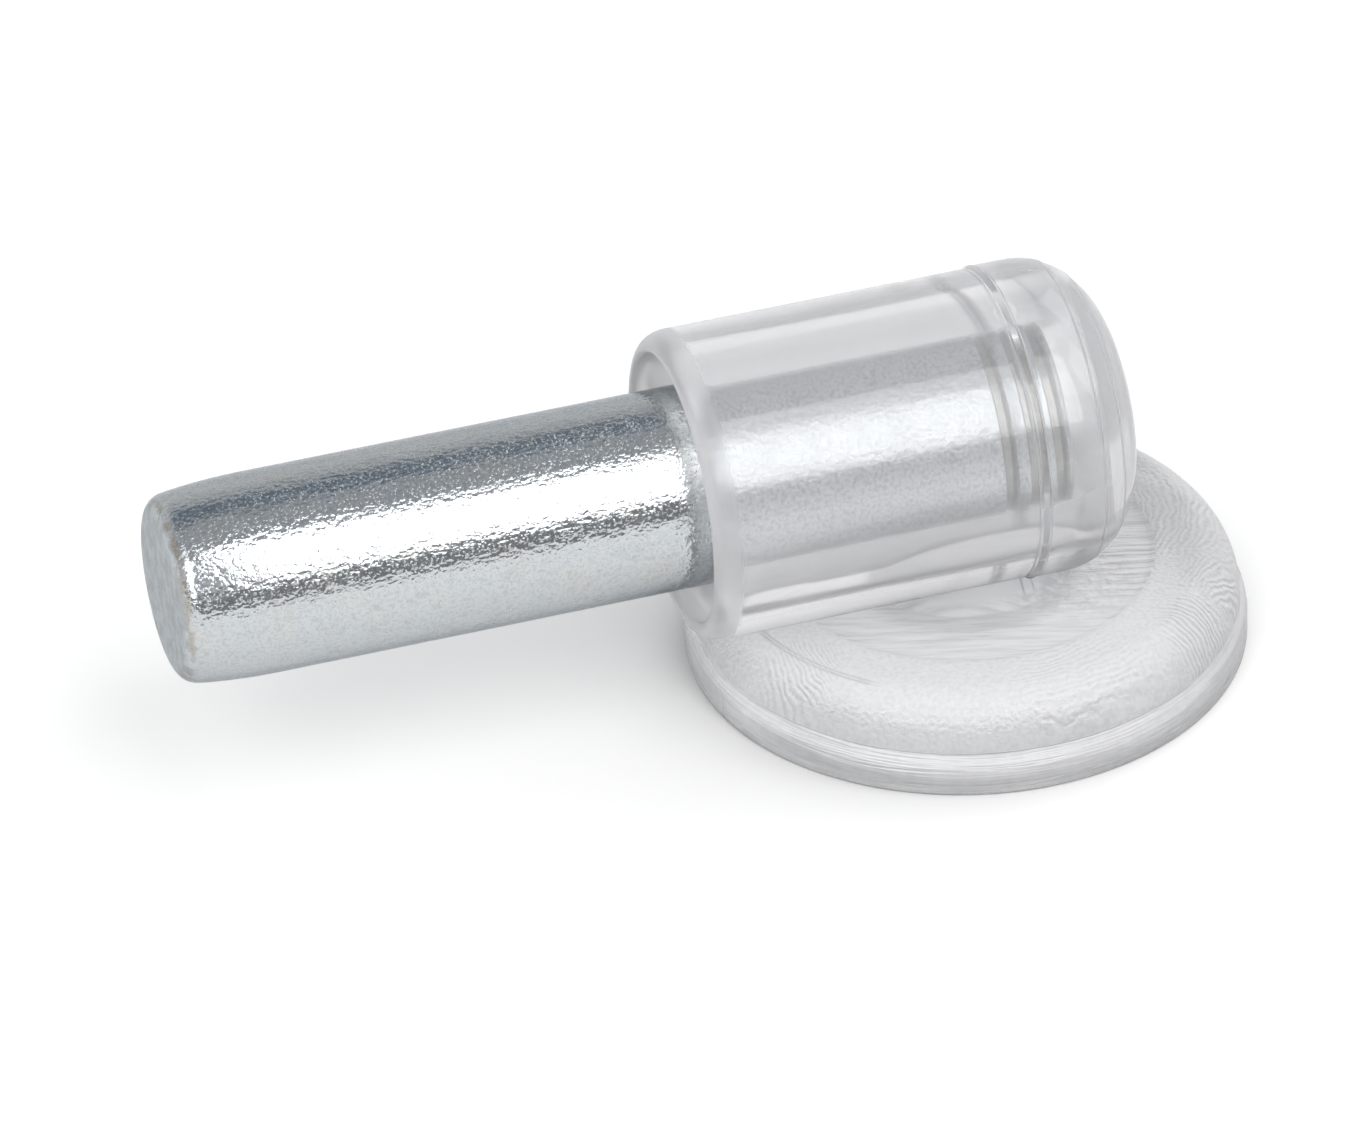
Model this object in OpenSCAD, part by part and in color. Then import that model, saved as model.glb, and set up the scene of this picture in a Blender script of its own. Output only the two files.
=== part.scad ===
// Shelf support pin: a plated steel pin pushed into a clear soft sleeve that
// carries a suction cup. The pin plugs into a hole in the cabinet's side and
// the cup grips the shelf.
//
// All sizes are in millimetres. The pin lies along X, with its free end
// towards -X. The origin is on the pin's axis in the plane of the sleeve's
// mouth, which bears against the cabinet. The cup faces down, along -Z.

/* [Shank] */
// Diameter of the shank, to suit the hole in the cabinet
shank_d = 5; // [4.6:0.1:7]
// Length of the shank that stands out of the sleeve
shank_len = 13; // [8:0.5:20]
// Corner radius of the shank's free end
tip_round = 0.4; // [0.2:0.05:0.8]
// Length of the slight curved lead-in behind that corner
lead_len = 2; // [0.5:0.1:3]
// How much the lead-in takes off the radius at that corner
lead_drop = 0.13; // [0.02:0.01:0.15]

/* [Stem] */
// Height of the shoulder between the shank and the thinner stem
shoulder = 0.25; // [0.2:0.05:0.5]
// Length of the stem inside the sleeve
stem_len = 9; // [7:0.1:14]
// Corner radius of the stem's inner end
stem_round = 0.15; // [0.05:0.05:0.3]
// Number of grip grooves round the stem
groove_count = 3; // [1:1:5]
// Width of a grip groove
groove_w = 0.35; // [0.2:0.05:0.45]
// Distance from one grip groove to the next
groove_pitch = 0.65; // [0.5:0.05:1]
// Depth of a grip groove
groove_depth = 0.2; // [0.1:0.05:0.4]
// Length of the plain collar between the last groove and the stem's end
collar_len = 0.2; // [0.15:0.05:0.6]

/* [Sleeve] */
// Thickness of the sleeve round the shank's radius
sleeve_wall = 1.4; // [1.1:0.05:2.5]
// Radial clearance between the sleeve and the pin
fit_gap = 0.03; // [0.01:0.01:0.1]
// Depth of the flared mouth, down to the pin's shoulder
mouth_depth = 0.55; // [0.4:0.05:1]
// Thickness of the lip round the mouth
lip_wall = 0.5; // [0.3:0.05:0.8]
// Length of the rounding outside the lip
lip_round = 0.65; // [0.3:0.05:1]
// Edge rounding inside the lip
lip_edge = 0.1; // [0.05:0.05:0.2]
// Empty space in the bore past the stem's end
end_space = 0.65; // [0.2:0.05:2]
// Thickness of the wall that closes the sleeve
end_wall = 1.2; // [0.8:0.1:3]
// Corner radius of the closed end
end_round = 2; // [1:0.1:2.5]
// Distance from the closed end to the moulding ring
ring_back = 2.8; // [2.7:0.1:4]
// Width of the moulding ring
ring_w = 0.3; // [0.2:0.05:0.6]
// Height of the moulding ring
ring_rise = 0.06; // [0.03:0.01:0.2]
// How much fatter the sleeve is behind the ring
end_rise = 0.04; // [0:0.01:0.08]
// Depth of each mould step on the closed end's corner
step_depth = 0.03; // [0.01:0.01:0.06]

/* [Suction cup] */
// Diameter of the cup over its rim
cup_d = 14.1; // [12.8:0.1:20]
// Distance from the cup's axis to the closed end of the sleeve
cup_back = 3.85; // [3:0.05:5]
// Height of the sleeve's underside above the shelf's face
under_h = 2.2; // [2.2:0.1:4]
// Height of the bevel round the rim's lower edge
foot_bevel = 0.08; // [0.04:0.01:0.12]
// Height of the moulding line round the rim
line_h = 0.3; // [0.25:0.01:0.4]
// Depth of that line
line_depth = 0.03; // [0.01:0.01:0.05]
// Height of the rim's widest part
rim_h = 0.7; // [0.55:0.05:0.8]
// Bevel on that part's upper edge
rim_bevel = 0.13; // [0.05:0.01:0.15]
// Height at which the dome starts
dome_foot_h = 1.15; // [1.05:0.05:1.4]
// Width of the ledge round the dome's foot
ledge_w = 0.05; // [0.02:0.01:0.08]
// Width of the dome's rounded shoulder
dome_round = 1.12; // [0.8:0.02:1.3]
// Height of the dome's top
dome_h = 2.45; // [2.3:0.05:2.6]
// Diameter of the flat on the dome's top
flat_d = 9.4; // [7:0.1:9.4]
// Depth of that flat
flat_depth = 0.06; // [0.02:0.01:0.1]
// Width of the sealing face round the hollow
seal_w = 0.6; // [0.4:0.05:1]
// Depth of the hollow under the cup
hollow_depth = 1.4; // [0.8:0.1:1.6]
// Diameter of the neck where it stands on the flat
neck_foot_d = 5.6; // [4.8:0.1:6.5]
// Diameter of the neck where it enters the sleeve
neck_top_d = 4.2; // [3:0.1:4.8]

/* [Hidden] */

// Facets of a full turn, of each rounded corner and of the lead-in
TURN = 180;
CORNER = 8;
LEAD = 6;

shank_r = shank_d / 2;
stem_r = shank_r - shoulder;
groove_start = mouth_depth + stem_len - collar_len
    - (groove_count - 1) * groove_pitch - groove_w;

sleeve_r = shank_r + sleeve_wall;
bore_r = stem_r + fit_gap;
bore_end = mouth_depth + stem_len + end_space;
sleeve_len = bore_end + end_wall;
mouth_r = sleeve_r - lip_wall;
end_r = sleeve_r + end_rise;
ring_x = sleeve_len - ring_back;
// Angles round the closed end's corner between which it steps down
STEP_ANGLES = [0, 22, 40, 90];

cup_x = sleeve_len - cup_back;
cup_r = cup_d / 2;
axis_h = under_h + sleeve_r;
wall_r = cup_r - rim_bevel;
seal_r = cup_r - 2 * foot_bevel;
dome_r = wall_r - ledge_w;
flat_r = flat_d / 2;
flat_h = dome_h - flat_depth;
hollow_r = seal_r - seal_w;
// Radius of the sphere whose cap is the hollow
hollow_ball = (pow(hollow_r, 2) + pow(hollow_depth, 2)) / (2 * hollow_depth);
neck_top_h = under_h + (sleeve_r - bore_r) / 2;

// Points on an elliptical arc about c, with half-axes a and b
function arc(c, a, b, from, to, n = CORNER) =
    [for (i = [0 : n]) let (t = from + (to - from) * i / n)
        c + [a * cos(t), b * sin(t)]];

// Solid of revolution along X from an outline of [radius, x] points
module turned(outline) {
    rotate([0, 90, 0]) rotate_extrude($fn = TURN) polygon(outline);
}

// One grip groove's corners, starting at x
function groove(x) = [
    [stem_r, x],
    [stem_r - groove_depth, x + groove_w / 4],
    [stem_r - groove_depth, x + groove_w * 3 / 4],
    [stem_r, x + groove_w],
];

module steel_pin() {
    tip_r = shank_r - lead_drop;
    stem_end = mouth_depth + stem_len;
    tip = arc([tip_r - tip_round, tip_round - shank_len], tip_round, tip_round, -90, 0);
    lead = [for (i = [1 : LEAD]) let (t = i / LEAD)
        [shank_r - lead_drop * pow(1 - t, 2), tip_round + lead_len * t - shank_len]];
    step = [[shank_r, mouth_depth], [stem_r, mouth_depth]];
    grooves = [for (i = [0 : groove_count - 1]) each groove(groove_start + i * groove_pitch)];
    tail = arc([stem_r - stem_round, stem_end - stem_round], stem_round, stem_round, 0, 90);
    color("silver")
        turned(concat([[0, -shank_len]], tip, lead, step, grooves, tail, [[0, stem_end]]));
}

// Outline of the sleeve: bore, flared mouth, lip, body, ring and closed end
function bore_outline() = [
    [0, bore_end],
    [bore_r, bore_end],
    [bore_r, mouth_depth + fit_gap],
];
function mouth_outline() = concat(
    arc([shank_r + fit_gap, lip_edge], mouth_r - shank_r - fit_gap,
        mouth_depth + fit_gap - lip_edge, 90, 0),
    arc([mouth_r + lip_edge, lip_edge], lip_edge, lip_edge, 180, 270)
);
function body_outline() = concat(
    arc([mouth_r + lip_edge, lip_round], lip_wall - lip_edge, lip_round, -90, 0),
    [
        [sleeve_r, ring_x - ring_w],
        [sleeve_r + ring_rise, ring_x - ring_w / 4],
        [end_r, ring_x],
    ]
);
function end_outline() = [
    for (s = [0 : len(STEP_ANGLES) - 2]) let (r = end_round - s * step_depth)
        each arc([end_r - end_round, sleeve_len - end_round], r, r,
                 STEP_ANGLES[s], STEP_ANGLES[s + 1])
];

module sleeve_body() {
    outline = concat(bore_outline(), mouth_outline(), body_outline(), end_outline());
    last = outline[len(outline) - 1];
    turned(concat(outline, [[0, last[1]]]));
}

// Outline of the cup and its neck, as [radius, height above the shelf's face]
function hollow_outline() =
    let (half = asin(hollow_r / hollow_ball))
    arc([0, hollow_depth - hollow_ball], hollow_ball, hollow_ball, 90, 90 - half, 3 * CORNER);
function rim_outline() = [
    [seal_r, 0],
    [cup_r, foot_bevel],
    [cup_r, line_h - line_depth],
    [cup_r - line_depth, line_h],
    [cup_r, line_h + line_depth],
    [cup_r, rim_h],
    [wall_r, rim_h + rim_bevel],
    [wall_r, dome_foot_h - ledge_w / 2],
];
function dome_outline() = concat(
    arc([dome_r - dome_round, dome_foot_h], dome_round, dome_h - dome_foot_h, 0, 90, 2 * CORNER),
    [[flat_r + flat_depth, dome_h], [flat_r, flat_h]]
);
function neck_outline() = [
    [neck_foot_d / 2, flat_h],
    [neck_top_d / 2, neck_top_h],
    [0, neck_top_h],
];

module suction_cup() {
    translate([cup_x, 0, -axis_h])
        rotate_extrude($fn = TURN)
            polygon(concat(hollow_outline(), rim_outline(), dome_outline(), neck_outline()));
}

module suction_sleeve() {
    color("gainsboro", 0.5) {
        sleeve_body();
        suction_cup();
    }
}

steel_pin();
suction_sleeve();
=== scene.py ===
"""Looks of a shelf support pin: a plated steel pin in a clear soft sleeve with a suction cup.

Lengths are in millimetres of the shared frame, until a mesh is scaled to metres. The pin lies
along X with its free end towards -X, and the cup faces down.
"""

import functools
import logging
import math
from collections.abc import Mapping
from dataclasses import dataclass
from enum import Enum
from typing import Union

import bmesh
import bpy
import numpy as np
from mathutils import Matrix, Vector


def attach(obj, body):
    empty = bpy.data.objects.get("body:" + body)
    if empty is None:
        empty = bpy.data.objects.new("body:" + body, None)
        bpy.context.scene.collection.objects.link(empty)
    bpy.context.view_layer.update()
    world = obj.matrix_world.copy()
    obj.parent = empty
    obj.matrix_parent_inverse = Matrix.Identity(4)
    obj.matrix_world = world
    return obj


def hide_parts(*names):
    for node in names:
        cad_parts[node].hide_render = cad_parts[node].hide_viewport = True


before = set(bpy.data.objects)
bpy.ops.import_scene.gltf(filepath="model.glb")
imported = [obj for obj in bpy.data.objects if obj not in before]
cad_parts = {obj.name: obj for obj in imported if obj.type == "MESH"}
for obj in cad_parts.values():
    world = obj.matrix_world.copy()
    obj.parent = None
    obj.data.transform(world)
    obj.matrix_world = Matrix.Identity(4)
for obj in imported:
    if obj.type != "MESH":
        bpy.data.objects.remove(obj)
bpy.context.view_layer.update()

LOG = logging.getLogger("shelf_support_pin")
MM = 0.001

Point = tuple[float, float]
Place = tuple[float, float, float]
Colour = tuple[float, float, float, float]
# Where a mask starts to rise from 0 and where it reaches 1
Span = tuple[float, float]

# What an operator or a node's socket takes
Value = Union["Field", float, tuple[float, ...]]

# Places of the colour sockets on a Mix node
MIX_SHARE, MIX_FIRST, MIX_SECOND, MIX_RESULT = 0, 6, 7, 2

# A ray counts as past the first wall of plastic once it has crossed this many surfaces
ONE_WALL: Span = (3.5, 2.5)

# Lengths of the facets along a straight stretch of an outline, finer and coarser
FINE_STEP = 0.15
COARSE_STEP = 0.2
# Clearance between the sleeve and the pin
FIT_GAP = 0.03
# A radius under which a point is on the axis
ON_AXIS = 1e-6


# ---------------------------------------------------------------- shader maths


class Field:
    """A number, vector or colour that varies over a surface; operators on it add nodes."""

    def __init__(self, shader: "Shader", socket: bpy.types.NodeSocket) -> None:
        """Keeps the output socket and the tree it belongs to."""
        self.shader = shader
        self.socket = socket

    def _pair(self, operation: str, first: Value, second: Value) -> "Field":
        """Joins two values, one of them a field, by a Math or Vector Math node.

        Args:
            operation: the node's operation, which both node types name alike.
            first: the left value.
            second: the right value.

        Returns:
            The node's result.
        """
        kinds = {v.socket.type for v in (first, second) if isinstance(v, Field)}
        if kinds == {"VALUE"}:
            return self.shader.node("Math", {"operation": operation}, {0: first, 1: second})
        if operation == "MULTIPLY":
            plain = [v for v in (first, second) if not self._is_vector(v)]
            if plain:
                wide = second if plain[0] is first else first
                return self.shader.node("VectorMath", {"operation": "SCALE"},
                                        {0: wide, "Scale": plain[0]})
        return self.shader.node("VectorMath", {"operation": operation}, {0: first, 1: second})

    @staticmethod
    def _is_vector(value: Value) -> bool:
        """True for a tuple or a field of three numbers."""
        if isinstance(value, Field):
            return value.socket.type != "VALUE"
        return isinstance(value, tuple)

    def __add__(self, other: Value) -> "Field":
        """self + other."""
        return self._pair("ADD", self, other)

    def __radd__(self, other: Value) -> "Field":
        """other + self."""
        return self._pair("ADD", other, self)

    def __sub__(self, other: Value) -> "Field":
        """self - other."""
        return self._pair("SUBTRACT", self, other)

    def __rsub__(self, other: Value) -> "Field":
        """other - self."""
        return self._pair("SUBTRACT", other, self)

    def __mul__(self, other: Value) -> "Field":
        """self * other."""
        return self._pair("MULTIPLY", self, other)

    def __rmul__(self, other: Value) -> "Field":
        """other * self."""
        return self._pair("MULTIPLY", other, self)

    def calc(self, operation: str, other: Value = 0.0) -> "Field":
        """One Math node of that operation on this number."""
        return self.shader.node("Math", {"operation": operation}, {0: self, 1: other})

    def smooth(self, low: float, high: float, start: float = 0.0, end: float = 1.0) -> "Field":
        """Maps this number from low..high to start..end with soft ends.

        Args:
            low: the number that becomes start.
            high: the number that becomes end.
            start: the result at low and before.
            end: the result at high and beyond.

        Returns:
            The mapped number.
        """
        settings = {"interpolation_type": "SMOOTHSTEP"}
        values = {"Value": self, "From Min": low, "From Max": high, "To Min": start, "To Max": end}
        return self.shader.node("MapRange", settings, values)

    def length(self) -> "Field":
        """How long a vector is."""
        return self.shader.node("VectorMath", {"operation": "LENGTH"}, {0: self}, "Value")

    def split(self) -> tuple["Field", "Field", "Field"]:
        """The three numbers of a vector."""
        made = self.shader.node("SeparateXYZ", {}, {0: self})
        outputs = made.socket.node.outputs
        return tuple(Field(self.shader, output) for output in outputs)

    def off_bore(self) -> "Field":
        """How far this point is from the line of the pin and the bore."""
        return (self * (0.0, 1.0, 1.0)).length()

    def off_upright(self, centre: Point) -> "Field":
        """How far this point is from the upright line through that centre."""
        return ((self - (*centre, 0.0)) * (1.0, 1.0, 0.0)).length()


class Shader:
    """The nodes of one material or of the world."""

    def __init__(self, owner: bpy.types.Material | bpy.types.World) -> None:
        """Clears the owner's nodes and starts an empty tree."""
        owner.use_nodes = True
        self.tree = owner.node_tree
        self.tree.nodes.clear()

    def node(self, kind: str, settings: Mapping[str, object] | None = None,
             values: Mapping[str | int, Value] | None = None,
             out: str | int = 0) -> Field | None:
        """Adds one node.

        Args:
            kind: the node's type, without its ShaderNode prefix.
            settings: properties of the node, set first.
            values: numbers, colours or fields for its inputs, by name or place.
            out: the output to return.

        Returns:
            That output, or None from a node that has none.
        """
        made = self.tree.nodes.new("ShaderNode" + kind)
        for name, setting in (settings or {}).items():
            setattr(made, name, setting)
        for name, value in (values or {}).items():
            if isinstance(value, Field):
                self.tree.links.new(value.socket, made.inputs[name])
            else:
                made.inputs[name].default_value = value
        return Field(self, made.outputs[out]) if made.outputs else None

    def place(self) -> Field:
        """The point on the surface, in millimetres of the shared frame."""
        return self.node("TexCoord", {}, {}, "Object") * (1 / MM)

    def noise(self, at: Field, scale: float, detail: float) -> Field:
        """Soft noise from 0 to 1, scale cells to the millimetre."""
        return self.node("TexNoise", {}, {"Vector": at, "Scale": scale, "Detail": detail})

    def mix(self, share: Value, first: Value, second: Value) -> Field:
        """A colour between first and second."""
        values = {MIX_SHARE: share, MIX_FIRST: first, MIX_SECOND: second}
        return self.node("Mix", {"data_type": "RGBA"}, values, MIX_RESULT)

    def blend(self, share: Field, first: Field, second: Field) -> Field:
        """A surface between first and second."""
        return self.node("MixShader", {}, {0: share, 1: first, 2: second})

    def bump(self, height: Field, distance: float) -> Field:
        """The normal tilted by a height, whose unit is distance in millimetres."""
        return self.node("Bump", {}, {"Height": height, "Distance": distance * MM})

    def light_ray(self, *kinds: str) -> Field:
        """1 for a ray of any of these kinds, 0 for the rest."""
        rays = [self.node("LightPath", {}, {}, kind) for kind in kinds]
        return functools.reduce(lambda one, other: one.calc("MAXIMUM", other), rays)

    def one_wall(self) -> Field:
        """1 for a ray that has crossed one wall of plastic and nothing else, 0 for the rest."""
        crossings = self.node("LightPath", {}, {}, "Transmission Depth")
        return self.light_ray("Is Transmission Ray") * crossings.smooth(*ONE_WALL)

    def finish(self, surface: Field, volume: Field | None = None) -> None:
        """Sends a surface, and a volume if there is one, to the output."""
        kind = "OutputWorld" if isinstance(self.tree.id_data, bpy.types.World) else "OutputMaterial"
        values = {"Surface": surface}
        if volume is not None:
            values["Volume"] = volume
        self.node(kind, {}, values)


def new_material(name: str) -> tuple[bpy.types.Material, Shader]:
    """A new material and its empty node tree."""
    material = bpy.data.materials.new(name)
    return material, Shader(material)


# -------------------------------------------------------------------- finishes


@dataclass(frozen=True)
class Grain:
    """One size of unevenness in a surface: its cells to the millimetre and its height."""

    cells: float
    height: float
    detail: float = 1.0

    def noise(self, shader: Shader, at: Field) -> Field:
        """The grain from 0 to 1."""
        return shader.noise(at, self.cells, self.detail)

    def relief(self, shader: Shader, at: Field) -> Field:
        """The grain's height above and below the surface."""
        return (self.noise(shader, at) - 0.5) * self.height


@dataclass(frozen=True)
class ZincPlate:
    """Bright zinc over a tumbled blank: a cool pebbled mirror, matt on the cut end.

    A span named over or under is a level of noise from 0 to 1. One named from or until is a place
    along the pin, and one named beyond or within is a radius.
    """

    colour: Colour = (0.588, 0.617, 0.637, 1.0)
    warm: Colour = (0.605, 0.615, 0.605, 1.0)
    # The stem inside the sleeve has its own rougher finish, and its darker colour is painted shade
    # for the light that the sleeve holds back
    stem: Colour = (0.458, 0.48, 0.493, 1.0)
    # Painted shade in the stem's grooves, darker than the plating
    painted_groove_shade: Colour = (0.29, 0.28, 0.26, 1.0)
    edge: Colour = (0.42, 0.385, 0.33, 1.0)
    face: Colour = (0.47, 0.49, 0.50, 1.0)
    rim: Colour = (0.58, 0.60, 0.62, 1.0)
    warm_share: float = 0.6
    warm_over: Span = (0.42, 0.66)
    stain_share: float = 0.8
    stain_over: Span = (0.40, 0.62)
    # Painted shade in the pits: how much the plating darkens where its relief is low, and the part
    # that each size of grain has in that
    pit_shade: float = 0.26
    fine_pits: float = 0.5
    fine_under: Span = (0.52, 0.36)
    grain_pits: float = 0.25
    grain_under: Span = (0.50, 0.34)

    roughness: float = 0.115
    end_roughness: float = 0.34
    stem_roughness: float = 0.35
    patch_roughness: Point = (-0.03, 0.04)
    patch_over: Span = (0.3, 0.7)
    fine_roughness: float = 0.14
    fine_over: Span = (0.5, 0.68)

    fine: Grain = Grain(13.0, 0.55)
    grain: Grain = Grain(9.0, 0.9)
    pebble: Grain = Grain(4.5, 0.85)
    speck_height: float = 0.25
    speck_over: Span = (0.60, 0.70)
    relief: float = 0.0125
    drawn_out: Place = (0.6, 1.0, 1.0)
    patch_cells: float = 0.9
    stain_cells: float = 2.6

    cut_from: Span = (-12.89, -12.93)
    corner_from: Span = (-12.72, -12.86)
    corner_beyond: Span = (1.95, 2.1)
    stem_from: Span = (0.35, 0.65)
    grooves_from: Span = (7.6, 7.8)
    grooves_until: Span = (9.5, 9.4)
    groove_within: Span = (2.22, 2.12)

    def material(self) -> bpy.types.Material:
        """Builds the finish."""
        material, shader = new_material("zinc_plate")
        at = shader.place()
        along = at.split()[0]
        fine = self.fine.noise(shader, at)
        grain = self.grain.noise(shader, at * self.drawn_out)
        pebble = self.pebble.noise(shader, at * self.drawn_out)
        patch = shader.noise(at, self.patch_cells, 2.0)
        cut = along.smooth(*self.cut_from)
        stem = along.smooth(*self.stem_from)
        # Painted shade in the pits: the colour darkens where the fine and middle grains sink
        painted_pit_shade = fine.smooth(*self.fine_under) * (self.fine_pits + stem * (1.0 - self.fine_pits))
        painted_pit_shade = painted_pit_shade + grain.smooth(*self.grain_under) * self.grain_pits
        colour = self.coloured(shader, at, patch, cut, stem) * (1.0 - painted_pit_shade * self.pit_shade)
        low, high = (self.roughness + more for more in self.patch_roughness)
        rough = patch.smooth(*self.patch_over, low, high)
        rough = rough + fine.smooth(*self.fine_over) * (1.0 - stem) * self.fine_roughness
        rough = rough + cut * (self.end_roughness - self.roughness)
        rough = rough + stem * (self.stem_roughness - self.roughness)
        height = pebble * self.pebble.height + grain * self.grain.height + fine * self.fine.height
        height = height + fine.smooth(*self.speck_over) * self.speck_height
        surface = shader.node("BsdfPrincipled", {}, {
            "Base Color": colour, "Metallic": 1.0, "Roughness": rough,
            "Specular Tint": self.rim, "Normal": shader.bump(height, self.relief)})
        shader.finish(surface)
        return material

    def coloured(self, shader: Shader, at: Field, patch: Field, cut: Field, stem: Field) -> Field:
        """The plating's colour with painted shade in the grooves and on the stem, before the
        painted shade of the pits darkens it.

        Args:
            shader: the tree to add to.
            at: the point on the surface.
            patch: broad noise that the warmer patches follow.
            cut: 1 on the cut end.
            stem: 1 on the stem.

        Returns:
            The colour.
        """
        along = at.split()[0]
        warm = patch.smooth(*self.warm_over) * self.warm_share
        colour = shader.mix(warm, self.colour, self.warm)
        # Painted shade: the stem inside the sleeve takes a darker copy of the plating's colour
        colour = shader.mix(stem, colour, self.stem)
        radius = at.off_bore()
        # Painted shade: the grooves of the stem are coloured darker
        painted_groove_shade_mask = radius.smooth(*self.groove_within) * along.smooth(*self.grooves_from)
        colour = shader.mix(painted_groove_shade_mask * along.smooth(*self.grooves_until), colour, self.painted_groove_shade)
        stain = shader.noise(at, self.stain_cells, 2.0).smooth(*self.stain_over)
        corner = radius.smooth(*self.corner_beyond) * along.smooth(*self.corner_from)
        colour = shader.mix(corner * stain * self.stain_share, colour, self.edge)
        return shader.mix(cut * stain * self.stain_share, colour, self.face)


@dataclass(frozen=True)
class Strokes:
    """Fine arcs left by a tool in the mould, in a soft round spot on the cup's top."""

    centre: Point
    pitch: float
    spot: Point
    reach: float
    depth: float
    # The share of the reach within which the strokes have their full depth
    core: float = 0.4

    def height(self, at: Field, bend: Field) -> Field:
        """How far the strokes stand off the surface.

        Args:
            at: the point on the surface.
            bend: noise that makes the strokes waver.

        Returns:
            The height, in millimetres.
        """
        turns = at.off_upright(self.centre) * (2 * math.pi / self.pitch)
        fade = at.off_upright(self.spot).smooth(self.reach, self.reach * self.core)
        return (turns + bend).calc("SINE") * fade * self.depth


@dataclass(frozen=True)
class Regions:
    """Fields that are 1 on one part of the clear moulding and 0 off it."""

    mouth: Field
    wall: Field
    end: Field
    cup: Field
    flat: Field
    neck: Field
    dome: Field
    rim: Field
    # The mould lines round the sleeve, and a painted contact shadow along the cup's foot
    seam: Field


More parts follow.
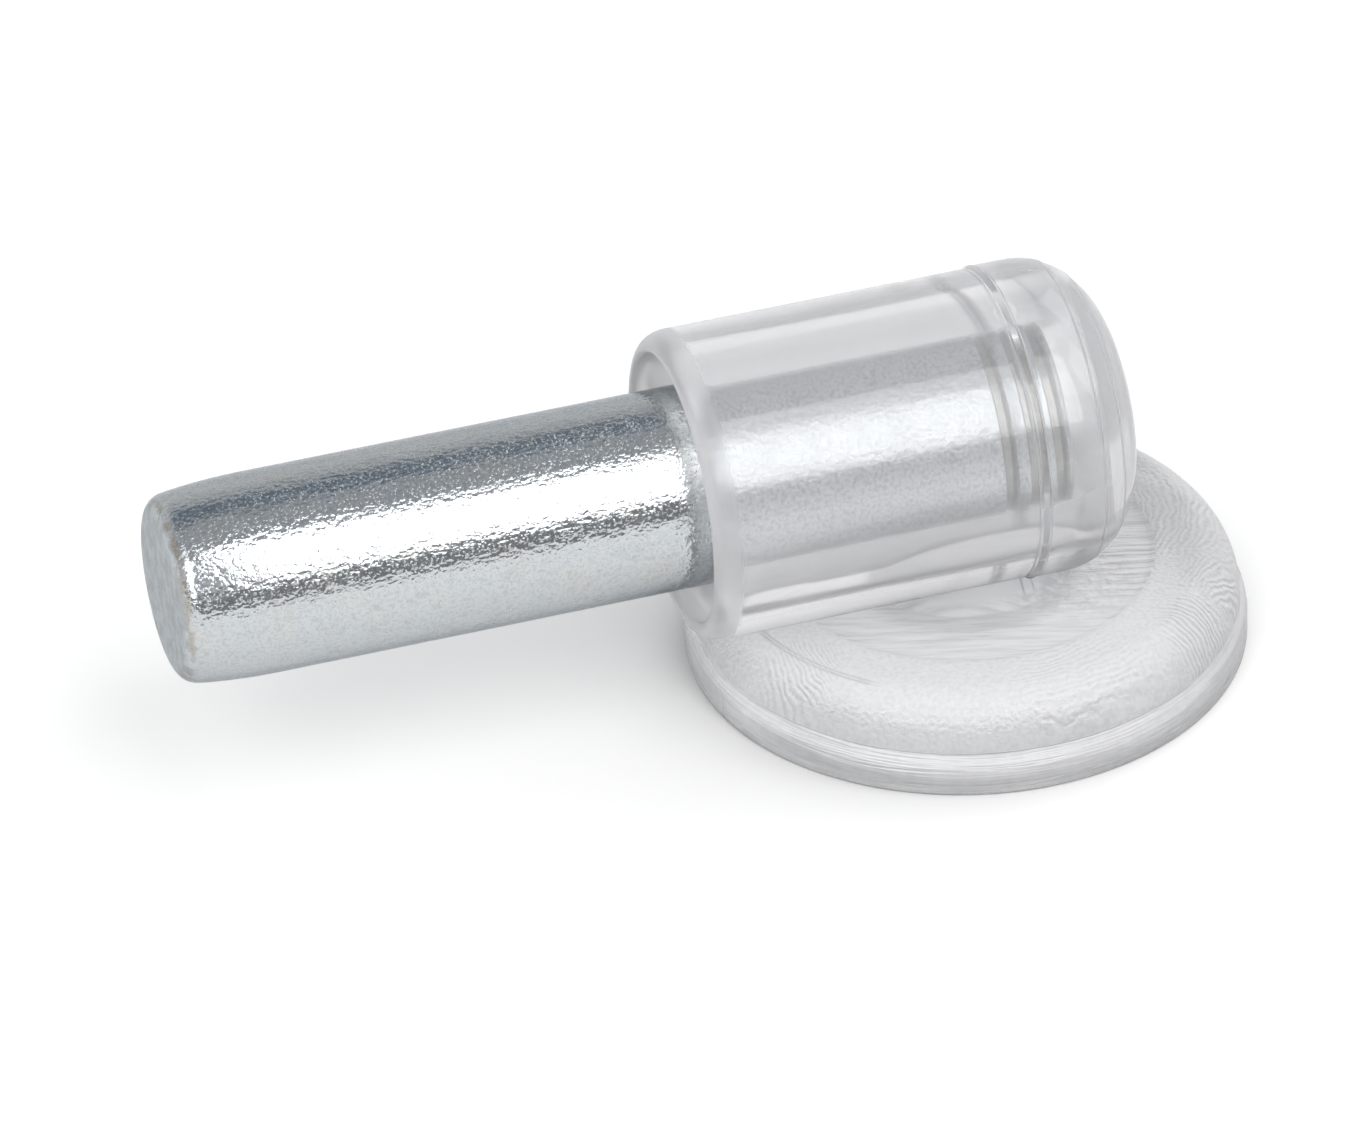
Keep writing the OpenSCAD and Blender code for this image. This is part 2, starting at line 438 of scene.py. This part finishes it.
@dataclass(frozen=True)
class ClearPlastic:
    """Clear soft plastic, a little milky, with the mould's own marks on it.

    A span named within, beyond or off is a distance from a line or a centre. One named above or
    below is a height, and one named from is a place along the pin.
    """

    tint: Colour = (0.97, 0.97, 0.973, 1.0)
    # Painted shade in the furrows of the mould's marks, on the clear glass
    furrow_painted_shade: Colour = (0.86, 0.86, 0.868, 1.0)
    milk: Colour = (0.71, 0.71, 0.718, 1.0)
    # Painted shade in the furrows of the mould's marks, on the milk
    milk_furrow_painted_shade: Colour = (0.57, 0.57, 0.58, 1.0)
    # Dark colour of the mould lines, and of the painted contact shadow along the cup's foot
    line: Colour = (0.40, 0.41, 0.43, 1.0)
    ior: float = 1.5
    clearness: float = 0.86
    murk: Colour = (0.80, 0.80, 0.82, 1.0)
    murk_density: float = 36.0
    wall_shade: Colour = (0.80, 0.80, 0.805, 1.0)
    cup_shade: Colour = (0.25, 0.25, 0.255, 1.0)
    shade_above: Span = (-4.0, -3.6)

    wall_roughness: float = 0.10
    mouth_roughness: float = 0.38
    cup_roughness: float = 0.27
    rim_roughness: float = 0.18

    cup_axis: Point = (7.55, 0.0)
    mouth_from: Span = (0.75, 0.55)
    wall_beyond: Span = (3.3, 3.5)
    end_from: Span = (9.2, 10.0)
    cup_below: Span = (-3.4, -3.62)
    flat_within: Span = (4.78, 4.70)
    flat_above: Span = (-3.76, -3.70)
    neck_within: Span = (2.86, 2.78)
    neck_above: Span = (-3.74, -3.70)
    neck_below: Span = (-2.9, -3.2)
    dome_within: Span = (6.95, 6.90)
    dome_above: Span = (-4.98, -4.94)
    rim_beyond: Span = (6.78, 6.82)
    rim_below: Span = (-4.93, -4.96)
    # Painted contact shadow: the height below which the rim's foot is darkened
    contact_shade_below: Span = (-6.01, -6.06)
    # Place along the sleeve and half width of each mould line round it
    seams: tuple[Point, ...] = ((8.30, 0.045), (8.58, 0.03), (10.02, 0.03), (10.62, 0.03))
    seam_core: float = 0.3

    # How milky each part is, from 0 for clear to 1 for solid white
    wall_milk: float = 0.02
    stripe_painted_light: float = 0.3
    end_milk: float = 0.20
    neck_milk: float = 0.5
    dome_milk: float = 0.42
    dome_foot_milk: float = 0.16
    dome_foot_below: Span = (-4.1, -4.9)
    rim_milk: float = 0.33
    # Painted highlight: extra milk that lightens the rim's upper band
    shoulder_painted_highlight: float = 0.08
    shoulder_highlight_above: Span = (-5.35, -5.2)
    # Milk share of the mould lines and of the painted contact shadow
    seam_and_contact_shade_milk: float = 0.35
    # Painted light: two frosted stripes along the wall, where it is seen edge-on from the camera,
    # that lighten the dark streaks there; each is placed by its share of the wall's radius in that
    # direction
    stripe_lean: Point = (0.155, 0.207)
    stripe_beyond: Span = (0.86, 0.97)
    # Painted light and shade: the milk is whiter at the first place along the pin than at the
    # second, lighter on the cup's left side and darker on its right
    painted_side_light_from: Span = (1.0, 13.5)
    painted_side_light: Span = (1.12, 0.76)

    seam_depth: float = 0.02
    ripple_cells: float = 1.4
    ripple_height: float = 0.008
    ripple_stretch: Place = (0.12, 1.0, 1.0)
    mouth_cells: float = 2.0
    mouth_height: float = 0.01
    # Heights of the marks below which the painted furrow shade comes in
    painted_furrow_shade_below: Span = (0.013, -0.022)

    leather: Grain = Grain(8.0, 0.036, 2.0)
    bend_cells: float = 1.5
    bend_turn: float = 16.0
    strokes: tuple[Strokes, ...] = (
        Strokes((7.0, -2.9), 0.115, (2.2, -3.2), 1.3, 0.010),
        Strokes((9.14, 1.33), 0.17, (12.7, -0.4), 2.2, 0.010),
        Strokes((16.5, -7.0), 0.15, (13.1, -3.1), 1.1, 0.010),
        Strokes((9.0, -8.5), 0.15, (12.0, -4.7), 1.3, 0.010),
        Strokes((7.55, 0.0), 0.17, (8.6, -5.9), 2.4, 0.006),
    )
    scratch_radii: Point = (5.99, 6.08)
    scratch_off: Span = (0.04, 0.01)
    scratch_depth: float = 0.025
    scratch_centre: Point = (2.5, -3.2)
    scratch_within: Span = (2.1, 1.5)

    weave: Grain = Grain(1.8, 0.10, 2.0)
    weave_lean: float = 0.3
    weave_stretch: Point = (0.35, 3.2)
    pebble: Grain = Grain(5.0, 0.08)
    pebble_centre: Point = (9.6, -1.9)
    pebble_within: Span = (2.2, 1.0)
    pebble_depth: float = 0.012

    streak: Grain = Grain(2.2, 0.05, 2.0)
    streak_stretch: Place = (0.25, 0.25, 8.0)
    rim_dents: Grain = Grain(3.2, 0.02)

    def material(self) -> bpy.types.Material:
        """Builds the finish."""
        material, shader = new_material("clear_plastic")
        at = shader.place()
        along, _, up = at.split()
        here = self.regions(at)
        marks = here.dome * self.tooled(shader, at) + here.flat * self.milled(shader, at)
        marks = marks + here.rim * self.drawn(shader, at)
        # Painted shade: the colour darkens where the marks sink
        painted_furrow_shade = marks.smooth(*self.painted_furrow_shade_below)
        ripple = shader.noise(at * self.ripple_stretch, self.ripple_cells, 1.0)
        height = ripple * self.ripple_height + marks - here.seam * self.seam_depth
        pitted = shader.noise(at, self.mouth_cells, 1.0) * self.mouth_height
        glass = shader.node("BsdfPrincipled", {}, {
            "Base Color": shader.mix(painted_furrow_shade, self.tint, self.furrow_painted_shade),
            "Roughness": self.roughness(here), "IOR": self.ior,
            "Transmission Weight": self.clearness,
            "Normal": shader.bump(height + here.mouth * pitted, 1.0)})
        milk = shader.mix(painted_furrow_shade, self.milk, self.milk_furrow_painted_shade)
        # Painted light and shade: the milk gets lighter towards the free end and darker towards the
        # closed end
        milk = milk * along.smooth(*self.painted_side_light_from, *self.painted_side_light)
        # The milk takes the dark line colour on the mould lines, and as a painted contact shadow at
        # the cup's foot
        cloud = shader.node("BsdfPrincipled", {}, {
            "Base Color": shader.mix(here.seam, milk, self.line), "Roughness": 1.0,
            "Specular IOR Level": 0.0})
        solid = shader.blend(self.milkiness(at, here), glass, cloud)
        passed = [shader.node("BsdfTransparent", {}, {"Color": shade})
                  for shade in (self.cup_shade, self.wall_shade)]
        clear = shader.blend(up.smooth(*self.shade_above), *passed)
        straight = shader.light_ray("Is Shadow Ray", "Is Diffuse Ray")
        volume = shader.node("VolumeAbsorption", {}, {
            "Color": self.murk, "Density": self.murk_density})
        shader.finish(shader.blend(straight, solid, clear), volume)
        return material

    def regions(self, at: Field) -> Regions:
        """Finds the parts of the moulding.

        Args:
            at: the point on the surface.

        Returns:
            A mask of each part.
        """
        along, _, up = at.split()
        radius = at.off_upright(self.cup_axis)
        cup = up.smooth(*self.cup_below)
        flat = radius.smooth(*self.flat_within) * up.smooth(*self.flat_above) * cup
        neck = radius.smooth(*self.neck_within) * up.smooth(*self.neck_above)
        dome = radius.smooth(*self.dome_within) * up.smooth(*self.dome_above) * cup
        rim = radius.smooth(*self.rim_beyond) * up.smooth(*self.rim_below)
        wall = at.off_bore().smooth(*self.wall_beyond) * (1.0 - cup)
        lines = [(along - place).calc("ABSOLUTE").smooth(width, width * self.seam_core)
                 for place, width in self.seams]
        return Regions(
            mouth=along.smooth(*self.mouth_from),
            wall=wall,
            end=along.smooth(*self.end_from) * (1.0 - cup),
            cup=cup,
            flat=flat,
            neck=neck * up.smooth(*self.neck_below),
            dome=dome * (1.0 - flat),
            rim=rim,
            # The mould lines round the sleeve, and a painted contact shadow along the cup's foot
            seam=wall * sum(lines[1:], lines[0]) + rim * up.smooth(*self.contact_shade_below),
        )

    def roughness(self, here: Regions) -> Field:
        """How matt each part of the surface is."""
        rough = self.wall_roughness + here.mouth * (self.mouth_roughness - self.wall_roughness)
        rough = rough + here.cup * (self.cup_roughness - self.wall_roughness)
        return rough + here.rim * (self.rim_roughness - self.cup_roughness)

    def milkiness(self, at: Field, here: Regions) -> Field:
        """The share of the light that the plastic scatters at its surface.

        Args:
            at: the point on the surface.
            here: the parts of the moulding.

        Returns:
            The share, from 0 to 1.
        """
        _, across, up = at.split()
        lean = (across * self.stripe_lean[0] + up * self.stripe_lean[1]).calc("ABSOLUTE")
        share = (here.dome + here.flat) * self.dome_milk + here.rim * self.rim_milk
        share = share + here.neck * self.neck_milk + here.seam * self.seam_and_contact_shade_milk
        share = share + here.dome * up.smooth(*self.dome_foot_below) * self.dome_foot_milk
        # Painted highlight on the rim's upper band
        share = share + here.rim * up.smooth(*self.shoulder_highlight_above) * self.shoulder_painted_highlight
        # Painted light: frosted stripes where the wall is seen edge-on from the camera
        stripe = lean.smooth(*self.stripe_beyond) * self.stripe_painted_light
        return share + here.end * self.end_milk + here.wall * (stripe + self.wall_milk)

    def tooled(self, shader: Shader, at: Field) -> Field:
        """The height of the marks left by the tool that cut the dome's mould."""
        radius = at.off_upright(self.cup_axis)
        bend = shader.noise(at, self.bend_cells, 1.0) * self.bend_turn
        marks = self.leather.relief(shader, at)
        for strokes in self.strokes:
            marks = marks + strokes.height(at, bend)
        fade = at.off_upright(self.scratch_centre).smooth(*self.scratch_within)
        for scratch in self.scratch_radii:
            line = (radius - scratch).calc("ABSOLUTE").smooth(*self.scratch_off)
            marks = marks - line * fade * self.scratch_depth
        return marks

    def milled(self, shader: Shader, at: Field) -> Field:
        """The height of the straight cuts across the flat on the dome."""
        along, across, _ = at.split()
        cuts = shader.node("CombineXYZ", {}, {
            0: along * self.weave_stretch[0],
            1: (across + along * self.weave_lean) * self.weave_stretch[1]})
        where = at.off_upright(self.pebble_centre).smooth(*self.pebble_within)
        pebble = self.pebble.relief(shader, at) * where - where * self.pebble_depth
        return self.weave.relief(shader, cuts) + pebble

    def drawn(self, shader: Shader, at: Field) -> Field:
        """The height of the fine streaks that run round the rim."""
        return (self.streak.relief(shader, at * self.streak_stretch)
                + self.rim_dents.relief(shader, at))


# ---------------------------------------------------------------------- meshes


def arc(centre: Point, half: Point, start: float, end: float, steps: int) -> list[Point]:
    """Points on an elliptical arc.

    Args:
        centre: the ellipse's centre.
        half: its two half-axes.
        start: the first angle, in degrees.
        end: the last angle, in degrees.
        steps: how many chords it has.

    Returns:
        The points, both ends among them.
    """
    angles = np.radians(np.linspace(start, end, steps + 1))
    return [(centre[0] + half[0] * math.cos(a), centre[1] + half[1] * math.sin(a)) for a in angles]


def run(start: Point, end: Point, step: float) -> list[Point]:
    """Points along a straight line at about that step, without its last."""
    count = max(1, round(math.dist(start, end) / step))
    return [(start[0] + (end[0] - start[0]) * i / count, start[1] + (end[1] - start[1]) * i / count)
            for i in range(count)]


class Axis(Enum):
    """The line that an outline turns about."""

    ALONG = "x"
    UP = "z"


@dataclass
class Lathe:
    """A closed outline of (radius, distance) points turned about an axis."""

    outline: list[Point]
    axis: Axis
    turns: int = 256
    offset: Place = (0.0, 0.0, 0.0)

    def mesh(self, name: str) -> bpy.types.Mesh:
        """Builds the turned solid, in millimetres.

        Args:
            name: the mesh's name.

        Returns:
            A closed mesh.
        """
        angles = np.linspace(0, 2 * math.pi, self.turns, endpoint=False)
        points: list[Place] = []
        rings: list[list[int]] = []
        for radius, distance in self.outline:
            first = len(points)
            if radius < ON_AXIS:
                points.append(self._place(0.0, 0.0, distance))
                rings.append([first] * self.turns)
            else:
                points += [self._place(radius * math.cos(a), radius * math.sin(a), distance)
                           for a in angles]
                rings.append(list(range(first, first + self.turns)))
        faces = []
        for low, high in zip(rings, rings[1:]):
            for i in range(self.turns):
                j = (i + 1) % self.turns
                corners = dict.fromkeys((low[i], low[j], high[j], high[i]))
                faces.append(tuple(corners))
        mesh = bpy.data.meshes.new(name)
        mesh.from_pydata(points, [], faces)
        return mesh

    def _place(self, across: float, other: float, distance: float) -> Place:
        """The point at that place on the outline's ring."""
        local = (distance, across, other) if self.axis is Axis.ALONG else (other, across, distance)
        return tuple(Vector(local) + Vector(self.offset))


def close_up(mesh: bpy.types.Mesh, angle: float) -> None:
    """Turns every face outwards and shades the mesh smooth up to that angle in degrees."""
    work = bmesh.new()
    work.from_mesh(mesh)
    bmesh.ops.recalc_face_normals(work, faces=work.faces)
    work.to_mesh(mesh)
    work.free()
    mesh.shade_smooth()
    mesh.set_sharp_from_angle(angle=math.radians(angle))


def place_object(name: str, data: bpy.types.ID) -> bpy.types.Object:
    """A new object in the scene, from a mesh, a lamp or a camera."""
    made = bpy.data.objects.new(name, data)
    bpy.context.scene.collection.objects.link(made)
    return made


def joined(name: str, first: bpy.types.Mesh, second: bpy.types.Mesh) -> bpy.types.Mesh:
    """The union of two closed meshes.

    Args:
        name: the new mesh's name.
        first: one closed mesh.
        second: the other.

    Returns:
        One closed mesh.
    """
    base, tool = place_object("base", first), place_object("tool", second)
    union = base.modifiers.new("union", "BOOLEAN")
    union.operation, union.solver, union.object = "UNION", "EXACT", tool
    view = bpy.context.evaluated_depsgraph_get()
    mesh = bpy.data.meshes.new_from_object(base.evaluated_get(view))
    mesh.name = name
    for spare in (base, tool):
        bpy.data.objects.remove(spare)
    return mesh


# -------------------------------------------------------------- sub-assemblies


@dataclass
class SteelPin:
    """The plated pin: a shank with a rounded tip, and a thinner ringed stem."""

    radius: float = 2.5
    length: float = 13.0
    tip_round: float = 0.5
    lead: float = 2.0
    lead_drop: float = 0.13
    # Angle at which the tip's rounding runs into the lead-in, and the lead-in's facets
    tip_end: float = -8.0
    lead_steps: int = 12
    shoulder_x: float = 0.55
    stem_radius: float = 2.25
    stem_end: float = 9.55
    stem_round: float = 0.15
    grooves: tuple[float, ...] = (7.75, 8.4, 9.05)
    groove_width: float = 0.35
    groove_depth: float = 0.2

    def outline(self) -> list[Point]:
        """The pin's outline from its tip to the stem's end."""
        stem = self.stem_radius
        points = self.shank_outline()
        points += run((stem, self.shoulder_x), (stem, self.grooves[0]), FINE_STEP)
        for place in self.grooves:
            floor = stem - self.groove_depth
            slope = self.groove_width / 4
            points += [(stem, place), (floor, place + slope),
                       (floor, place + 3 * slope), (stem, place + 4 * slope)]
        points += arc((stem - self.stem_round, self.stem_end - self.stem_round),
                      (self.stem_round, self.stem_round), start=0, end=90, steps=5)
        return points + [(0.0, self.stem_end)]

    def shank_outline(self) -> list[Point]:
        """The outline of the tip, the curved lead-in and the plain shank."""
        start = -self.length
        corner = (self.radius - self.lead_drop - self.tip_round, start + self.tip_round)
        points = run((0.0, start), (corner[0], start), FINE_STEP)
        points += arc(corner, (self.tip_round, self.tip_round),
                      start=-90, end=self.tip_end, steps=12)
        begin = start + self.tip_round * (1 + math.sin(math.radians(self.tip_end)))
        for share in (i / self.lead_steps for i in range(1, self.lead_steps + 1)):
            points.append((self.radius - self.lead_drop * (1 - share) ** 2,
                           begin + self.lead * share))
        points += run(points.pop(), (self.radius, self.shoulder_x), FINE_STEP)
        return points + [(self.radius, self.shoulder_x)]

    def build(self, finish: ZincPlate) -> bpy.types.Object:
        """Makes the pin's piece.

        Args:
            finish: the plating.

        Returns:
            The piece, riding on the root body.
        """
        mesh = Lathe(self.outline(), Axis.ALONG).mesh("pin")
        close_up(mesh, angle=35)
        mesh.transform(Matrix.Scale(MM, 4))
        mesh.materials.append(finish.material())
        piece = place_object("plated_pin", mesh)
        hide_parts("steel_pin")
        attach(piece, "root")
        return piece


@dataclass
class SuctionSleeve:
    """The clear moulding: a closed sleeve on the neck of a suction cup.

    The sleeve's sizes run along the pin, and the cup's are radii and heights above its rim.
    """

    radius: float = 3.9
    length: float = 11.4
    bore: float = SteelPin.stem_radius + FIT_GAP
    bore_start: float = SteelPin.shoulder_x + FIT_GAP
    bore_end: float = 10.2
    mouth_inside: float = SteelPin.radius + FIT_GAP
    mouth: float = 3.4
    lip_edge: float = 0.1
    lip_wall: float = 0.5
    lip_round: float = 0.65
    ring: float = 8.6
    ring_width: float = 0.3
    ring_rise: float = 0.06
    ring_dip: float = 0.02
    # Where the ring's dip and top are, as shares of its width from its end
    dip_back: float = 0.7
    top_back: float = 0.25
    end_radius: float = 3.94
    end_round: float = 2.0
    step: float = 0.03
    # Angles round the closed end's corner between which it steps down
    step_angles: tuple[int, ...] = (0, 22, 40, 90)

    cup_x: float = 7.55
    cup_radius: float = 7.05
    floor: float = -6.1
    foot_bevel: float = 0.08
    line: float = 0.3
    line_depth: float = 0.03
    rim_bevel: float = 0.13
    # The rim's rounded upper edge: how far in from the rim, and how high
    shoulder: tuple[Point, ...] = (
        (0.0, 0.62), (0.02, 0.74), (0.07, 0.85), (0.14, 0.96), (0.205, 1.06), (0.22, 1.10))
    dome_foot: float = 1.15
    ledge: float = 0.05
    dome_round: float = 1.12
    dome: float = 2.45
    flat: Point = (4.7, 2.39)
    # The flat's soft edge: how far out from it, and how high above it
    flat_edge: tuple[Point, ...] = ((0.10, 0.06), (0.04, 0.045), (-0.04, 0.015))
    flat_inset: float = 0.12
    neck_foot: float = 2.8
    neck_top: Point = (2.1, 3.01)
    hollow: Point = (6.29, 1.4)

    def body_outline(self) -> list[Point]:
        """The sleeve's outline: bore, flared mouth, lip, wall, ring and closed end."""
        wall_end = self.ring - self.ring_width
        points = self.mouth_outline()
        points += run((self.radius, self.lip_round), (self.radius, wall_end), FINE_STEP)
        points += [(self.radius, wall_end),
                   (self.radius - self.ring_dip, self.ring - self.ring_width * self.dip_back),
                   (self.radius + self.ring_rise, self.ring - self.ring_width * self.top_back),
                   (self.end_radius, self.ring)]
        centre = (self.end_radius - self.end_round, self.length - self.end_round)
        points += run((self.end_radius, self.ring), (self.end_radius, centre[1]), FINE_STEP)[1:]
        for i, (start, end) in enumerate(zip(self.step_angles, self.step_angles[1:])):
            size = self.end_round - i * self.step
            points += arc(centre, (size, size), start, end, steps=max(5, (end - start) // 3))
        return points + [(0.0, points[-1][1])]

    def mouth_outline(self) -> list[Point]:
        """The outline of the bore, the flared mouth and the lip round it."""
        points = run((0.0, self.bore_end), (self.bore, self.bore_end), COARSE_STEP)
        points += run((self.bore, self.bore_end), (self.bore, self.bore_start), FINE_STEP)
        points += [(self.bore, self.bore_start)]
        points += arc((self.mouth_inside, self.lip_edge),
                      (self.mouth - self.mouth_inside, self.bore_start - self.lip_edge),
                      start=90, end=0, steps=14)
        points += arc((self.mouth + self.lip_edge, self.lip_edge),
                      (self.lip_edge, self.lip_edge), start=180, end=270, steps=6)[1:]
        points += arc((self.mouth + self.lip_edge, self.lip_round),
                      (self.lip_wall - self.lip_edge, self.lip_round),
                      start=-90, end=0, steps=14)[1:-1]
        return points

    def cup_outline(self) -> list[Point]:
        """The cup's outline from the middle of its hollow round the rim to the neck."""
        wide, deep = self.hollow
        ball = (wide**2 + deep**2) / (2 * deep)
        half = math.degrees(math.asin(wide / ball))
        points = arc((0.0, deep - ball), (ball, ball), start=90, end=90 - half, steps=40)
        points[0] = (0.0, deep)
        points += self.rim_outline()
        dome_edge = self.cup_radius - self.rim_bevel - self.ledge
        points += [(dome_edge, self.dome_foot)]
        points += arc((dome_edge - self.dome_round, self.dome_foot),
                      (self.dome_round, self.dome - self.dome_foot),
                      start=0, end=90, steps=24)[1:]
        radius, height = self.flat
        edge = [(radius + out, height + rise) for out, rise in self.flat_edge]
        points += run(points.pop(), edge[0], COARSE_STEP) + edge
        points += run((radius - self.flat_inset, height), (self.neck_foot, height), COARSE_STEP)
        points += run((self.neck_foot, height), self.neck_top, FINE_STEP)
        return points + [self.neck_top, (0.0, self.neck_top[1])]

    def rim_outline(self) -> list[Point]:
        """The outline of the sealing face, the moulding line and the rim's rounded edge."""
        edge, notch, bevel = self.cup_radius, self.line_depth, self.foot_bevel
        points = [(edge - 2 * bevel, 0.0)]
        points += arc((edge - bevel, bevel), (bevel, bevel), start=-80, end=0, steps=4)
        points += [(edge, self.line - notch), (edge - notch, self.line), (edge, self.line + notch)]
        return points + [(edge - inward, height) for inward, height in self.shoulder]

    def build(self, finish: ClearPlastic) -> bpy.types.Object:
        """Makes the moulding's piece.

        Args:
            finish: the plastic.

        Returns:
            The piece, riding on the root body.
        """
        body = Lathe(self.body_outline(), Axis.ALONG).mesh("body")
        cup = Lathe(self.cup_outline(), Axis.UP, offset=(self.cup_x, 0.0, self.floor)).mesh("cup")
        for part in (body, cup):
            close_up(part, angle=30)
        mesh = joined("clear_sleeve", body, cup)
        close_up(mesh, angle=30)
        mesh.transform(Matrix.Scale(MM, 4))
        mesh.materials.clear()
        mesh.materials.append(finish.material())
        piece = place_object("clear_sleeve", mesh)
        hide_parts("suction_sleeve")
        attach(piece, "root")
        return piece


# ---------------------------------------------------------------------- studio


@dataclass(frozen=True)
class Softbox:
    """A rectangular lamp that faces the part."""

    name: str
    towards: Place
    size: Point
    watts: float
    distance: float = 450.0
    mirrored: bool = True

    def hang(self) -> None:
        """Adds the lamp, which is mirrored in the part or only lights it."""
        data = bpy.data.lights.new(self.name, "AREA")
        data.shape, data.size, data.size_y = "RECTANGLE", self.size[0] * MM, self.size[1] * MM
        data.energy = self.watts
        lamp = place_object(self.name, data)
        towards = Vector(self.towards).normalized()
        lamp.rotation_mode = "QUATERNION"
        lamp.rotation_quaternion = towards.to_track_quat("Z", "Y")
        lamp.location = towards * self.distance * MM
        lamp.visible_camera = False
        lamp.visible_glossy = lamp.visible_transmission = self.mirrored


@dataclass(frozen=True)
class Screen:
    """A coloured part of the room, by how far along and how far up it is seen."""

    colour: Colour
    along: Span
    up: Span
    share: float = 1.0


@dataclass(frozen=True)
class Room:
    """What surrounds the part: white where it is looked at, greyer in the light it gives."""

    seen: Colour = (1.0, 1.0, 1.0, 1.0)
    walls: Colour = (0.64, 0.642, 0.645, 1.0)
    ceiling: Colour = (0.44, 0.455, 0.475, 1.0)
    ceiling_above: Span = (0.4, 0.75)
    screens: tuple[Screen, ...] = (
        Screen((0.18, 0.22, 0.27, 1.0), along=(0.30, 0.50), up=(0.62, 0.78)),
        Screen((0.80, 0.80, 0.80, 1.0), along=(0.75, 0.9), up=(0.45, 0.25)),
        Screen((0.13, 0.135, 0.14, 1.0), along=(-0.3, -0.7), up=(0.42, 0.26), share=0.7),
    )
    through: Colour = (0.88, 0.88, 0.885, 1.0)
    through_share: float = 0.08
    one_wall_share: float = 0.85

    def world(self) -> bpy.types.World:
        """Builds the room."""
        world = bpy.data.worlds.new("room")
        shader = Shader(world)
        _, along, up = shader.node("TexCoord", {}, {}, "Generated").split()
        tone = shader.mix(up.smooth(*self.ceiling_above), self.walls, self.ceiling)
        for screen in self.screens:
            where = along.smooth(*screen.along) * up.smooth(*screen.up)
            tone = shader.mix(where * screen.share, tone, screen.colour)
        through = shader.light_ray("Is Transmission Ray") * self.through_share
        through = through + shader.one_wall() * self.one_wall_share
        tone = shader.mix(through, tone, self.through)
        tone = shader.mix(shader.light_ray("Is Camera Ray"), tone, self.seen)
        shader.finish(shader.node("Background", {}, {"Color": tone}))
        return world


@dataclass(frozen=True)
class FloorWhite:
    """A white floor that keeps the part's shadow and can't be seen from below."""

    colour: Colour = (0.94, 0.932, 0.92, 1.0)
    plain: Colour = (1.0, 1.0, 1.0, 1.0)
    seen_glow: float = 0.05
    through_glow: float = 0.52

    def material(self) -> bpy.types.Material:
        """Builds the finish."""
        material, shader = new_material("floor_white")
        diffuse = shader.node("BsdfDiffuse", {}, {"Color": self.colour})
        seen = shader.light_ray("Is Camera Ray") * self.seen_glow
        through = shader.light_ray("Is Transmission Ray") * self.through_glow
        glow = shader.node("Emission", {}, {"Strength": seen + through})
        lit = shader.node("AddShader", {}, {0: diffuse, 1: glow})
        plain = shader.node("Emission", {}, {"Color": self.plain, "Strength": 1.0})
        lit = shader.blend(shader.one_wall(), lit, plain)
        under = shader.node("NewGeometry", {}, {}, "Backfacing")
        shader.finish(shader.blend(under, lit, shader.node("BsdfTransparent")))
        return material


@dataclass
class Studio:
    """Camera, lamps, floor and surroundings."""

    look: Place = (-0.280, -1.964, -1.214)
    away: Place = (-0.22857, -0.78590, 0.57455)
    distance: float = 294.609
    roll: float = -2.067
    sensor: float = 36.0
    # The focal length and the image's width, both in pixels
    focal: float = 12000.0
    image_width: int = 1371
    floor: float = -6.102
    floor_half: float = 1500.0
    lamps: tuple[Softbox, ...] = (
        Softbox("key", (0.22, -0.64, 0.735), (190.0, 410.0), 0.77),
        Softbox("side", (-0.56, -0.60, 0.57), (260.0, 340.0), 0.56),
        Softbox("left_top", (-0.62, -0.28, 0.73), (150.0, 300.0), 0.12),
        Softbox("right_top", (0.68, -0.30, 0.65), (180.0, 280.0), 0.26),
        Softbox("back_right", (0.55, 0.45, 0.70), (200.0, 200.0), 0.16),
        Softbox("overhead", (0.60, 0.12, 0.80), (420.0, 420.0), 0.31, mirrored=False),
        Softbox("back", (0.42, 0.62, 0.66), (300.0, 300.0), 0.24, mirrored=False),
    )

    def camera(self) -> None:
        """Sets the camera at its viewing angle."""
        data = bpy.data.cameras.new("camera")
        data.sensor_width = self.sensor
        data.lens = self.focal * self.sensor / self.image_width
        back = Vector(self.away).normalized()
        right = Vector((0, 0, 1)).cross(back).normalized()
        up = back.cross(right)
        turn, lean = math.cos(math.radians(self.roll)), math.sin(math.radians(self.roll))
        across, above = turn * right + lean * up, turn * up - lean * right
        matrix = Matrix((across, above, back)).transposed().to_4x4()
        matrix.translation = (Vector(self.look) + back * self.distance) * MM
        camera = place_object("camera", data)
        camera.matrix_world = matrix
        bpy.context.scene.camera = camera

    def ground(self) -> None:
        """Lays the floor just under the cup."""
        half = self.floor_half * MM
        corners = [(x * half, y * half, self.floor * MM)
                   for x, y in ((-1, -1), (1, -1), (1, 1), (-1, 1))]
        mesh = bpy.data.meshes.new("floor")
        mesh.from_pydata(corners, [], [(0, 1, 2, 3)])
        mesh.materials.append(FloorWhite().material())
        place_object("floor", mesh)

    def build(self) -> None:
        """Sets up the whole studio."""
        bpy.context.scene.view_settings.view_transform = "Standard"
        bpy.context.scene.world = Room().world()
        self.camera()
        for lamp in self.lamps:
            lamp.hang()
        self.ground()


def main() -> None:
    """Builds the studio and the two pieces, and writes how large they came out."""
    logging.basicConfig(level=logging.INFO, format="%(message)s")
    Studio().build()
    for piece in (SteelPin().build(ZincPlate()), SuctionSleeve().build(ClearPlastic())):
        LOG.info("%s: %d faces", piece.name, len(piece.data.polygons))


if __name__ == "__main__":
    main()
